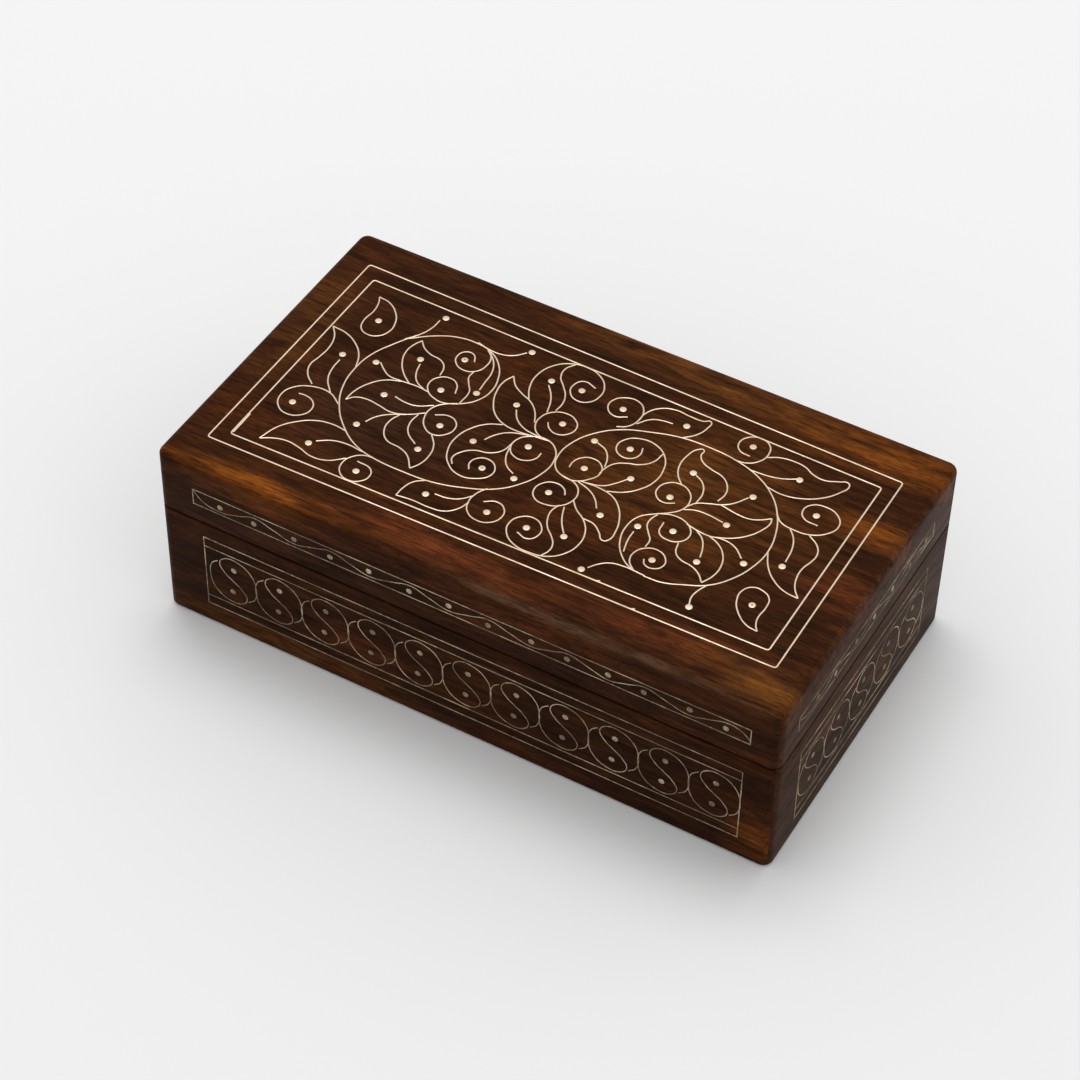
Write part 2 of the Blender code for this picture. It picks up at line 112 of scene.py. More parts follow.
# Lid, seen from above: x to the right, y to the back. Each wire bends smoothly through its points.
TOP_WIRES = [
    # ---- left
    # great scroll: inner ring and its curl
    [(-33.2, 10.4), (-30.0, 13.1), (-27.0, 14.6), (-24.0, 15.0), (-21.0, 14.4), (-18.6, 12.6), (-17.0, 9.8),
     (-16.5, 7.0), (-17.2, 4.4), (-18.9, 2.5), (-20.9, 1.2), (-22.0, -0.5), (-21.9, -2.5), (-20.7, -4.4),
     (-18.9, -5.1), (-17.3, -4.1), (-16.8, -2.5), (-17.6, -1.0), (-19.1, -0.6), (-20.8, -1.4)],
    # great scroll: outside, front, middle curl
    [(-32.3, 11.9), (-34.2, 8.4), (-35.7, 4.8), (-36.1, 1.2), (-35.5, -3.0), (-33.7, -6.8), (-30.6, -10.3),
     (-27.0, -12.7), (-23.5, -13.6), (-18.5, -13.8), (-14.0, -13.5), (-9.5, -12.2), (-5.4, -10.1),
     (-2.8, -7.3), (-1.3, -4.0), (-1.1, -1.0), (-2.2, 1.4), (-4.4, 2.5), (-6.5, 1.9), (-7.9, 0.5),
     (-7.9, -1.7), (-6.4, -3.0), (-4.8, -2.9), (-3.6, -1.7), (-3.5, -0.4)],
    # curl by the end border
    [(-33.9, -6.7), (-36.3, -5.3), (-39.2, -5.5), (-41.5, -7.1), (-42.1, -9.2), (-41.1, -11.4),
     (-39.2, -12.2), (-37.3, -11.4), (-36.6, -9.7), (-37.3, -8.2), (-38.8, -7.6), (-40.0, -7.7)],
    # tall leaf by the end border and stem
    [(-43.9, 7.1), (-41.4, 6.8), (-38.9, 5.5), (-37.2, 3.7), (-36.1, 1.2)],
    [(-43.9, 7.1), (-42.5, 5.3), (-41.8, 2.8), (-41.9, 0.3), (-42.1, -1.6), (-41.3, -3.5), (-39.5, -5.1)],
    [(-39.0, 1.4), (-38.9, -0.6), (-38.2, -2.9), (-36.3, -5.2)],
    # separate drop
    [(-41.7, 16.2), (-39.8, 15.9), (-37.8, 14.5), (-36.5, 12.4), (-36.3, 10.2), (-37.3, 8.6), (-38.7, 8.2),
     (-40.1, 8.8), (-40.8, 10.5), (-40.7, 13.2), (-41.1, 15.0), (-41.7, 16.2)],
    # stems of the two buds at the back
    [(-31.2, 16.4), (-31.3, 14.4), (-32.0, 12.3), (-33.4, 10.2)],
    [(-16.4, 17.0), (-17.6, 15.6), (-19.2, 14.8), (-21.3, 14.7), (-23.7, 15.2)],
    # curl at the back of the ring and its leaf
    [(-21.6, 14.5), (-20.4, 13.4), (-20.0, 11.5), (-20.7, 9.6), (-22.4, 8.9), (-24.1, 9.6), (-24.8, 11.1),
     (-24.2, 12.5), (-22.9, 12.6), (-21.9, 11.2)],
    [(-20.9, 9.3), (-20.9, 8.0), (-20.1, 6.7), (-19.2, 5.4), (-19.1, 2.5)],
    [(-21.2, 14.4), (-19.4, 12.5), (-18.5, 10.4), (-18.3, 8.2), (-18.1, 6.4)],
    # lower curl of the ring
    [(-19.3, 2.3), (-21.0, 1.4), (-22.8, 1.5), (-24.4, 2.4), (-25.2, 4.1), (-24.5, 5.8), (-23.0, 6.4),
     (-21.6, 5.8), (-20.7, 3.9)],
    # long branch out of the ring and its bud
    [(-24.2, 2.2), (-26.2, 2.4), (-28.8, 2.2), (-31.0, 2.2), (-32.4, 3.0), (-33.6, 4.0)],
    # pointed leaf towards the end and stem
    [(-28.6, 2.2), (-31.0, 1.1), (-32.7, -1.0), (-33.5, -3.3), (-33.6, -5.3)],
    [(-33.6, -5.3), (-32.7, -4.2), (-31.0, -3.7), (-28.8, -3.9), (-26.5, -4.2), (-24.3, -3.4),
     (-22.1, -1.7)],
    [(-27.8, -1.1), (-26.0, -1.4), (-24.2, -1.2), (-22.0, 0.2)],
    # leaf at the back of the ring and stem
    [(-31.0, 11.2), (-29.8, 10.0), (-28.3, 9.3), (-26.4, 9.0), (-25.2, 8.0), (-24.7, 6.1)],
    [(-31.0, 11.2), (-31.6, 9.7), (-31.7, 7.8), (-30.9, 5.6), (-29.5, 3.8), (-27.6, 2.3)],
    [(-28.5, 6.7), (-27.9, 4.7), (-26.8, 3.2), (-25.0, 2.3)],
    # stem of the bud at the front
    [(-28.6, -7.8), (-27.9, -6.2), (-26.4, -4.7), (-24.4, -3.5)],
    # leaf at the front of the ring and stem
    [(-25.1, -3.9), (-25.7, -5.8), (-25.4, -7.8), (-23.9, -9.5), (-21.4, -9.9), (-19.8, -10.6),
     (-18.0, -12.7)],
    [(-18.0, -12.7), (-17.2, -11.1), (-17.0, -9.2), (-17.5, -7.1), (-19.1, -5.1)],
    [(-22.9, -2.6), (-23.0, -4.6), (-22.2, -6.5), (-20.0, -8.1)],
    # leaf at the front corner and stem
    [(-29.8, -10.9), (-32.2, -10.7), (-34.8, -11.3), (-37.0, -12.9), (-38.7, -15.2), (-39.6, -18.4)],
    [(-39.6, -18.4), (-37.9, -17.4), (-35.9, -16.9), (-33.6, -17.2), (-31.4, -17.8), (-29.0, -17.4),
     (-26.8, -15.6)],
    [(-32.4, -14.8), (-30.6, -13.6), (-28.4, -13.1), (-25.6, -13.3)],
    # curl on the front border
    [(-22.5, -13.7), (-24.6, -13.7), (-26.2, -14.8), (-26.8, -16.7), (-26.0, -18.5), (-24.2, -19.2),
     (-22.6, -18.5), (-22.0, -17.0), (-22.7, -15.7), (-25.1, -15.3)],
    # leaf at the middle of the front and stem
    [(-14.7, -13.6), (-16.1, -14.8), (-16.7, -16.5), (-16.8, -18.3)],
    [(-16.8, -18.3), (-14.5, -18.0), (-11.3, -18.0), (-9.3, -17.6), (-7.8, -16.1), (-7.2, -14.3)],
    [(-12.2, -15.3), (-10.2, -15.1), (-8.6, -14.3), (-7.3, -12.8)],
    # curl at the middle of the front
    [(-6.4, -10.6), (-7.2, -12.2), (-7.3, -14.3), (-6.4, -16.0), (-4.6, -16.8), (-2.7, -16.3), (-1.7, -14.6),
     (-2.3, -12.8), (-3.9, -12.2), (-5.5, -13.1)],
    # ---- middle, back
    # great curl on the back border and its leaf
    [(-10.9, 8.4), (-12.2, 10.9), (-12.6, 13.6), (-11.6, 16.6), (-9.5, 18.4), (-7.0, 18.9), (-4.6, 18.3),
     (-2.8, 16.6), (-2.3, 14.4), (-3.1, 12.5), (-4.8, 11.9), (-6.4, 12.8), (-6.9, 14.4), (-6.0, 16.0),
     (-3.7, 15.6)],
    [(-8.9, 18.5), (-9.7, 17.0), (-9.4, 15.1), (-8.1, 13.6), (-6.8, 12.0), (-6.2, 10.2), (-6.3, 8.4)],
    [(-10.0, 12.6), (-8.8, 11.2), (-7.9, 9.6), (-7.2, 7.4)],
    # small curl
    [(-6.0, 5.7), (-5.2, 4.7), (-3.7, 4.2), (-2.2, 5.1), (-1.8, 6.8), (-2.8, 8.2), (-4.6, 8.7), (-6.6, 7.8),
     (-7.5, 5.9), (-7.1, 3.9), (-5.6, 2.6), (-4.0, 2.4)],
    # ---- middle
    # leaf to the left and stem
    [(-15.4, 11.6), (-14.1, 10.0), (-12.4, 9.0), (-10.5, 8.2), (-8.9, 6.8), (-7.6, 4.6)],
    [(-15.4, 11.6), (-16.0, 9.9), (-15.8, 7.4), (-14.9, 5.1), (-13.3, 3.1), (-11.1, 2.0), (-8.7, 1.8),
     (-6.2, 2.1), (-3.8, 2.4)],
    [(-11.3, 5.6), (-10.2, 4.0), (-8.3, 2.8), (-5.8, 2.4)],
    # great curl towards the front
    [(-11.3, 1.9), (-13.3, 0.8), (-14.9, -1.2), (-15.7, -3.8), (-15.4, -6.6), (-13.9, -9.0), (-11.3, -10.3),
     (-8.9, -9.7), (-7.4, -8.1), (-7.7, -6.3), (-9.3, -5.4), (-10.8, -6.0), (-11.3, -7.3), (-10.7, -8.6)],
    [(-13.3, -8.9), (-14.0, -7.7), (-13.4, -6.0), (-12.0, -4.8), (-10.0, -4.2), (-8.6, -2.9), (-8.1, -0.4)],
    [(-12.0, -2.2), (-11.2, -0.6), (-9.7, 0.9), (-7.0, 1.9)],
    [(-8.0, -1.8), (-7.5, -3.6), (-6.4, -5.2), (-4.8, -6.1)],
    # ---- right
    # great scroll: outside, back, middle curl
    [(21.3, -14.3), (24.0, -14.1), (27.0, -12.9), (29.9, -11.3), (32.4, -8.2), (33.8, -4.6), (34.2, -1.2),
     (33.5, 2.6), (31.8, 6.3), (29.3, 9.3), (26.0, 11.5), (21.6, 12.9), (16.5, 13.3), (12.4, 13.0),
     (8.0, 11.7), (3.8, 9.8), (0.9, 7.1), (-0.8, 3.9), (-1.2, 0.6), (-0.3, -1.8), (1.4, -2.8), (3.5, -2.8),
     (5.1, -1.5), (5.9, 0.3), (5.1, 2.0), (3.3, 2.5), (1.8, 1.6), (1.3, 0.3), (1.4, -0.8)],
    # great scroll: inner ring and its curl
    [(21.4, -14.2), (19.0, -13.9), (16.7, -12.4), (15.0, -9.9), (14.4, -6.9), (15.0, -4.4), (16.8, -2.7),
     (18.6, -1.3), (19.7, 0.2), (19.8, 2.0), (18.8, 3.7), (16.8, 4.4), (15.2, 3.7), (14.5, 2.0), (15.1, 0.5),
     (16.6, -0.1), (18.1, 0.6)],
    # curl by the end border
    [(31.8, 6.2), (33.1, 5.0), (35.2, 4.6), (37.8, 4.9), (39.9, 6.4), (40.7, 8.5), (39.6, 10.4),
     (37.3, 11.1), (35.3, 10.4), (34.7, 8.9), (35.6, 7.4), (38.0, 7.1)],
    # tall leaf by the end border and stem
    [(42.1, -7.1), (39.9, -6.9), (37.5, -5.7), (35.7, -3.9), (34.2, -1.2)],
    [(42.1, -7.1), (40.9, -5.7), (40.1, -3.6), (40.0, -1.6), (40.5, 0.4), (40.6, 1.7), (39.9, 3.3),
     (37.8, 4.8)],
    [(34.8, 4.6), (36.1, 3.1), (36.9, 1.2), (37.3, -1.7)],
    # separate drop
    [(40.0, -15.6), (38.2, -15.3), (36.2, -13.9), (34.8, -11.8), (34.6, -9.7), (35.6, -8.4), (37.2, -8.3),
     (38.6, -9.2), (39.0, -10.9), (38.9, -13.2), (39.3, -14.6), (40.0, -15.6)],
    # stems of the two buds at the front
    [(29.9, -11.2), (29.2, -13.0), (29.0, -14.4), (29.4, -15.9)],
    [(13.7, -16.9), (14.7, -15.5), (16.0, -14.5), (17.8, -14.1), (20.2, -14.1)],
    # curl at the front of the ring and its leaf
    [(19.4, -14.0), (18.1, -12.7), (17.9, -10.9), (18.9, -9.4), (20.7, -8.9), (22.3, -9.8), (22.7, -11.3),
     (21.7, -12.4), (20.3, -12.3), (19.7, -11.4)],
    [(18.7, -9.2), (18.6, -7.7), (17.7, -6.5), (16.8, -5.2), (16.7, -3.9), (17.1, -2.7)],
    [(15.8, -7.4), (15.9, -9.2), (16.5, -11.6)],
    # lower curl of the ring
    [(17.4, -2.3), (19.0, -1.7), (20.9, -1.8), (22.5, -2.8), (23.1, -4.4), (22.3, -5.9), (20.7, -6.4),
     (19.1, -5.8), (18.6, -3.6)],
    # long branch out of the ring and its bud
    [(21.6, -2.2), (23.6, -2.6), (25.4, -2.7), (27.4, -2.3), (29.6, -2.7), (31.6, -4.3)],
    # pointed leaf towards the end and stem
    [(26.3, -2.5), (28.4, -1.5), (30.3, 0.2), (31.5, 2.3), (31.9, 4.0), (31.6, 5.0)],
    [(31.6, 5.0), (30.4, 4.0), (28.9, 3.3), (27.3, 3.2), (24.0, 3.7)],
    [(19.9, 0.9), (20.7, 2.1), (22.3, 3.0), (24.1, 3.8), (25.4, 4.9), (26.7, 7.0)],
    [(19.8, 0.1), (21.2, 0.8), (23.0, 1.0), (25.9, 0.7)],
    # leaf at the front of the ring and stem
    [(28.9, -11.3), (29.7, -9.4), (29.8, -7.2), (28.9, -4.9), (27.3, -3.4), (25.5, -2.7)],
    [(28.9, -11.3), (27.7, -10.0), (26.1, -9.2), (24.3, -8.9), (23.0, -8.0), (22.4, -6.2)],
    [(23.4, -2.6), (24.9, -3.7), (25.8, -5.2), (26.4, -7.1)],
    # leaf at the back of the ring and stem
    [(17.1, 4.4), (15.7, 5.9), (14.9, 7.8), (14.9, 10.1), (15.5, 11.9), (16.4, 12.4), (16.6, 11.2),
     (17.5, 10.1), (19.3, 9.4), (21.4, 8.9), (22.9, 7.6), (23.5, 5.9), (23.2, 4.1)],
    [(18.0, 7.2), (19.5, 6.3), (20.6, 4.4), (20.7, 2.1)],
    # leaf at the back corner and stem
    [(25.1, 15.8), (26.7, 16.7), (28.9, 17.1), (30.9, 16.9), (32.6, 16.1), (34.6, 15.9), (36.5, 16.7),
     (37.8, 17.2), (38.3, 16.6), (37.7, 14.8), (36.1, 12.6), (33.6, 10.9), (30.6, 10.1), (27.8, 10.4)],
    [(31.0, 14.1), (29.7, 13.3), (27.8, 12.6), (24.2, 12.2)],
    # curl on the back border
    [(21.2, 12.9), (23.0, 13.2), (24.5, 14.5), (25.0, 16.4), (24.2, 18.3), (22.4, 18.9), (20.7, 18.1),
     (20.1, 16.4), (21.0, 15.0), (22.8, 14.7)],
    # leaf at the middle of the back and stem
    [(12.4, 13.0), (13.9, 14.6), (14.6, 16.6), (14.4, 18.2), (13.4, 17.7), (11.2, 17.6), (8.7, 17.7),
     (6.6, 16.8), (5.3, 14.9), (5.1, 12.6)],
    [(9.8, 14.9), (8.2, 14.7), (6.6, 14.0), (5.2, 12.1)],
    # curl at the middle of the back
    [(3.0, 10.1), (4.3, 10.9), (5.1, 12.7), (4.8, 15.0), (3.2, 16.4), (1.2, 16.2), (-0.3, 14.6), (0.0, 12.8),
     (1.6, 11.9), (3.4, 12.7)],
    # ---- middle, front
    # great curl on the front border and its leaf
    [(5.3, -6.3), (6.6, -7.7), (8.6, -9.1), (10.0, -11.1), (10.4, -13.6), (9.6, -16.1), (7.7, -17.9),
     (5.1, -18.5), (2.5, -18.2), (0.5, -16.8), (-0.2, -14.9), (0.5, -13.1), (2.3, -12.3), (4.1, -13.2),
     (4.6, -14.9), (3.6, -16.3), (1.7, -15.9)],
    [(6.9, -18.1), (7.4, -16.8), (7.2, -15.4), (6.2, -14.1), (4.9, -12.9), (4.0, -11.3), (3.7, -9.7),
     (4.1, -8.2)],
    [(4.9, -8.2), (5.6, -10.0), (6.4, -11.4), (7.5, -12.8)],
    # small curl
    [(3.8, -6.1), (3.0, -5.0), (1.3, -4.6), (-0.2, -5.6), (-0.6, -7.4), (0.5, -8.9), (2.4, -9.1),
     (4.3, -8.2), (5.3, -6.4), (5.1, -4.6), (3.9, -3.3), (1.6, -2.8)],
    # ---- middle
    # leaf to the right and stem
    [(8.4, -8.8), (10.2, -9.0), (11.7, -10.1), (12.9, -11.2), (13.6, -10.6), (13.6, -8.7), (12.9, -6.4),
     (11.5, -4.2), (9.7, -2.8), (7.4, -2.3), (4.4, -2.4)],
    [(9.0, -6.1), (7.9, -4.6), (6.4, -3.5), (4.0, -2.7)],
    # great curl towards the back
    [(8.5, -2.3), (10.6, -1.3), (12.3, 0.4), (13.4, 2.7), (13.4, 5.6), (12.2, 8.2), (9.9, 9.7), (7.4, 9.7),
     (5.5, 8.4), (5.1, 6.5), (6.5, 5.1), (8.2, 5.4), (8.9, 6.7), (8.6, 8.1)],
    [(11.7, 8.5), (11.3, 6.4), (9.9, 4.9), (8.2, 4.2), (6.7, 3.2), (5.9, 1.4), (5.8, 0.2)],
    [(9.9, 1.4), (8.9, -0.1), (7.5, -1.6), (4.8, -2.4)],
    [(5.8, 1.8), (5.2, 3.6), (4.1, 5.0), (2.4, 5.7)],
]

TOP_PEGS = [
    (-38.9, 11.6), (-39.3, 2.6), (-39.8, -9.7), (-33.1, -15.7), (-24.2, -17.1), (-30.7, 17.3), (-15.8, 17.5),
    (-23.4, 10.9), (-18.1, 5.6), (-22.9, 3.5), (-34.2, 3.7), (-29.4, -1.6), (-29.0, 7.6), (-29.4, -8.9),
    (-19.1, -8.8), (-19.0, -3.0), (-13.3, -16.0), (-4.0, -14.7), (-5.2, 14.1), (-10.1, 13.6), (-4.0, 6.5),
    (-11.8, 6.5), (-9.2, -7.4), (-13.2, -3.3), (-4.2, -6.9), (-5.8, -0.2), (37.1, -11.5), (37.3, -2.7),
    (36.9, 8.8), (31.4, 14.1), (22.3, 16.7), (29.6, -16.3), (13.1, -17.6), (20.8, -11.0), (15.8, -6.2),
    (20.6, -4.5), (32.3, -5.0), (26.6, 0.5), (26.4, -8.1), (27.2, 7.5), (17.4, 7.4), (16.9, 1.3),
    (11.8, 15.5), (2.0, 13.8), (2.4, -14.5), (7.8, -13.3), (1.5, -6.8), (10.1, -7.0), (7.1, 7.0),
    (10.2, 1.7), (1.8, 5.8), (3.4, 0.1),
]
# Pegs of the list above that carry a punch mark.
PUNCHED_TOP_PEGS = (7, 22, 26)

# Half of an S figure of the base bands, from its centre. The other half is the same, turned round.
S_HALF = [
    (0.0, 0.0), (-1.4, 1.1), (-2.3, 2.9), (-1.2, 4.45), (0.9, 4.65), (3.2, 3.2), (4.1, 0.4), (3.7, -2.2),
    (2.6, -3.3),
]
S_PEG = (0.2, 2.3)

BASE_FRONT_BAND = {
    "ends": (-43.3, 45.6),
    "strips": (4.2, 6.0, 16.3, 18.1),
    "figures": [-38.5 + 8.006 * number for number in range(11)],
    "height": 11.15,
    "figure_scale": (0.985, 0.95),
    "punched": (21,),
}
BASE_END_BAND = {
    "ends": (-20.9, 20.6),
    "strips": (3.4, 5.3, 15.8, 17.6),
    "figures": [-16.6, -8.4, -0.2, 8.0, 16.2],
    "height": 10.5,
    "figure_scale": (0.98, 0.96),
}
LID_FRONT_BAND = {
    "ends": (-44.6, 46.3),
    "strips": (24.4, 27.3),
    "wave": [
        (-44.5, 27.1), (-43.0, 25.6), (-39.9, 24.9), (-36.8, 25.7), (-34.0, 26.7), (-30.8, 25.9),
        (-27.4, 25.0), (-24.1, 25.8), (-20.9, 26.7), (-17.7, 25.8), (-14.6, 25.0), (-10.9, 25.8),
        (-7.7, 26.7), (-4.5, 25.8), (-1.5, 25.0), (2.0, 25.8), (5.1, 26.7), (8.5, 25.8), (11.9, 25.0),
        (15.0, 25.8), (17.9, 26.7), (21.1, 25.8), (24.3, 25.0), (27.2, 25.8), (29.9, 26.7), (33.3, 25.8),
        (36.8, 25.0), (39.8, 25.8), (42.9, 26.7), (45.0, 26.2), (46.2, 25.2),
    ],
    "pegs": [
        (-39.9, 25.8), (-34.1, 25.5), (-27.2, 25.9), (-21.1, 25.5), (-14.6, 26.0), (-7.9, 25.5),
        (-1.4, 26.0), (5.0, 25.5), (12.0, 26.0), (17.7, 25.6), (24.2, 26.0), (29.8, 25.6), (36.9, 26.1),
        (42.5, 25.5),
    ],
}
LID_END_BAND = {
    "ends": (-22.8, 20.7),
    "strips": (24.1, 26.8),
    "wave": [
        (-22.5, 26.1), (-20.1, 25.0), (-17.0, 24.7), (-14.0, 25.5), (-11.2, 26.3), (-8.2, 25.5),
        (-5.0, 24.7), (-2.1, 25.5), (0.8, 26.3), (3.8, 25.5), (6.7, 24.7), (9.8, 25.5), (12.6, 26.3),
        (15.5, 25.5), (18.2, 24.8), (20.5, 25.6),
    ],
    "pegs": [
        (-17.0, 25.6), (-11.4, 25.1), (-4.9, 25.6), (1.0, 25.1), (6.8, 25.6), (12.6, 25.1), (18.0, 25.7),
    ],
}

# The lid's two borders, from front left anticlockwise, hand laid and a little out of square.
OUTER_BORDER = [(-45.8, -22.3), (45.7, -20.8), (45.3, 20.5), (-45.7, 22.0)]
INNER_BORDER = [(-43.3, -20.1), (43.4, -18.4), (43.1, 18.0), (-43.3, 19.3)]
# A second strip closes a gap beside the inner border's left run.
BORDER_PATCH = [(-43.08, -19.7), (-43.06, -17.3), (-43.1, -15.2)]
BORDER_CORNER = 0.5
# Where each border's strip starts, how far it laps past that place, and by how much it misses its line.
OUTER_LAP = (21.6, 24.0, 0.28)
INNER_LAP = (16.1, 17.3, 0.26)
# Wires that start between these places across the lid are the middle group.
MIDDLE_GROUP = (-14.0, 13.1)

# How the scroll drawing lies on the lid: shift, stretch and lean, then the slight bow of its rows.
DRAWING_ACROSS = (1.077, 0.9953, 0.0150, -0.000225, -0.000267, 0.000189)
DRAWING_UP = (-0.330, -0.0066, 1.0028, -0.000304, 0.0, -0.000097)


def on_lid(places):
    """Points of the scroll drawing, in the lid's own millimetres."""
    laid = []
    for across, up in places:
        terms = (1, across, up, across * up, across * across, up * up)
        x = sum(factor * term for factor, term in zip(DRAWING_ACROSS, terms))
        y = sum(factor * term for factor, term in zip(DRAWING_UP, terms))
        laid.append((x, y))
    return laid


# ---- working with Blender's own tools

def select_only(*pieces):
    bpy.ops.object.select_all(action="DESELECT")
    for piece in pieces:
        piece.select_set(True)
    bpy.context.view_layer.objects.active = pieces[0]


def edit(piece, kind="FACE"):
    select_only(piece)
    bpy.ops.object.mode_set(mode="EDIT")
    bpy.ops.mesh.select_mode(type=kind)


def leave_edit():
    bpy.ops.object.mode_set(mode="OBJECT")


def edit_all(piece, kind="FACE"):
    edit(piece, kind)
    bpy.ops.mesh.select_all(action="SELECT")


def settle():
    """Puts the place, turn and size of the selected pieces into their meshes."""
    bpy.ops.object.transform_apply(location=True, rotation=True, scale=True)


def add_to_scene(thing):
    bpy.context.scene.collection.objects.link(thing)


def select_parts(piece, kind, wanted):
    """Edit mode with only the edges or faces that pass a test, given the part and the mesh."""
    edit(piece, kind)
    bpy.ops.mesh.select_all(action="DESELECT")
    leave_edit()
    parts = piece.data.edges if kind == "EDGE" else piece.data.polygons
    for part in parts:
        part.select = wanted(part, piece.data)
    bpy.ops.object.mode_set(mode="EDIT")


def block(name, low, high):
    """A block between two corners."""
    low = Vector(low)
    high = Vector(high)
    bpy.ops.mesh.primitive_cube_add(size=1.0, location=(low + high) / 2, scale=high - low)
    piece = bpy.context.object
    piece.name = name
    settle()
    return piece


def bevel_where(piece, wanted, radius, segments):
    select_parts(piece, "EDGE", wanted)
    bpy.ops.mesh.bevel(offset=radius, segments=segments, profile=0.5, affect="EDGES", clamp_overlap=False)
    leave_edit()


def upright(edge, mesh):
    start, end = (mesh.vertices[index].co for index in edge.vertices)
    return abs(start.x - end.x) < NEAR and abs(start.y - end.y) < NEAR


def at_height(edge, mesh, z):
    return all(abs(mesh.vertices[index].co.z - z) < NEAR for index in edge.vertices)


def level_at(z):
    """A test for the edges at one height."""
    return lambda edge, mesh: at_height(edge, mesh, z)


def combine(piece, other, operation):
    """Boolean of two pieces; the second is used up."""
    modifier = piece.modifiers.new(operation.lower(), "BOOLEAN")
    modifier.operation = operation
    modifier.solver = "EXACT"
    modifier.object = other
    select_only(piece)
    bpy.ops.object.modifier_apply(modifier=modifier.name)
    bpy.data.objects.remove(other)


def duplicate(piece, name):
    copy = piece.copy()
    copy.data = piece.data.copy()
    copy.name = name
    add_to_scene(copy)
    return copy


def cut(piece, point, normal):
    """Cuts a piece by a plane, closes it, and keeps the side that the normal points away from."""
    edit_all(piece)
    bpy.ops.mesh.bisect(plane_co=point, plane_no=normal, use_fill=True, clear_outer=True)
    leave_edit()


def tidy_mesh(piece):
    edit_all(piece)
    bpy.ops.mesh.remove_doubles(threshold=MERGE)
    bpy.ops.mesh.normals_make_consistent(inside=False)
    leave_edit()


def smooth(piece, angle=35):
    select_only(piece)
    bpy.ops.object.shade_smooth_by_angle(angle=math.radians(angle))


def finish_piece(piece, material, body, nodes=()):
    """Gives a piece its finish and its body, and hides the plain solids that it stands for."""
    piece.data.name = piece.name
    piece.data.materials.clear()
    piece.data.materials.append(material)
    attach(piece, body)
    if nodes:
        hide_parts(*nodes)
    return piece


# ---- finishes

class Finish:
    """A material under construction, with short ways to add and join its nodes."""

    def __init__(self, name, shift=(0, 0, 0)):
        self.material = bpy.data.materials.new(name)
        self.material.use_nodes = True
        self.tree = self.material.node_tree
        self.shader = self.tree.nodes["Principled BSDF"]
        self.place = self.node("TexCoord").outputs["Object"]
        self.shift = shift

    def fill(self, node, inputs):
        """Sets a node's inputs: each value is a socket to link or a plain value."""
        for name, value in inputs.items():
            socket = node.inputs[name]
            if isinstance(value, bpy.types.NodeSocket):
                self.tree.links.new(value, socket)
            else:
                socket.default_value = (*value, 1) if socket.type == "RGBA" else value

    def node(self, kind, inputs=None):
        node = self.tree.nodes.new(f"ShaderNode{kind}")
        self.fill(node, inputs or {})
        return node

    def set(self, **values):
        self.fill(self.shader, {name.replace("_", " "): value for name, value in values.items()})

    def noise(self, scale, detail, roughness, distortion=0.0):
        """A noise pattern with its own scale along each axis."""
        mapped = self.node("Mapping", {"Vector": self.place, "Scale": scale, "Location": self.shift})
        inputs = {"Vector": mapped.outputs[0], "Scale": 1.0, "Detail": detail, "Roughness": roughness}
        return self.node("TexNoise", {**inputs, "Distortion": distortion}).outputs["Fac"]

    def ramp(self, value, stops):
        """Colours or greys at places from 0 to 1."""
        node = self.node("ValToRGB", {"Fac": value})
        elements = node.color_ramp.elements
        while len(elements) < len(stops):
            elements.new(0.5)
        for element, (place, colour) in zip(elements, stops):
            element.position = place
            element.color = (*colour, 1) if hasattr(colour, "__len__") else (colour, colour, colour, 1)
        return node.outputs["Color"]

    def mix(self, amount, first, second, blend="MIX"):
        """Blends two colours."""
        node = self.node("Mix")
        node.data_type = "RGBA"
        node.blend_type = blend
        self.fill(node, {0: amount, 6: first, 7: second})
        return node.outputs[2]

    def math(self, operation, first, second, clamp=False):
        node = self.node("Math", {0: first, 1: second})
        node.operation = operation
        node.use_clamp = clamp
        return node.outputs[0]

    def spot(self, centre, size):
        """1 at a place on the piece, fading to 0 at the given half sizes round it."""
        shift = self.node("VectorMath", {0: self.place, 1: centre})
        shift.operation = "SUBTRACT"
        mapped = self.node("Mapping", {"Vector": shift.outputs[0], "Scale": [1 / part for part in size]})
        ball = self.node("TexGradient", {"Vector": mapped.outputs[0]})
        ball.gradient_type = "SPHERICAL"
        return ball.outputs["Fac"]

    def bump(self, height, distance, strength):
        node = self.node("Bump", {"Height": height, "Distance": distance, "Strength": strength})
        self.set(Normal=node.outputs["Normal"])


def along_grain(grain, stretch, across):
    """Scale of a pattern that runs along one axis."""
    return tuple(stretch if axis == grain else across for axis in "XYZ")


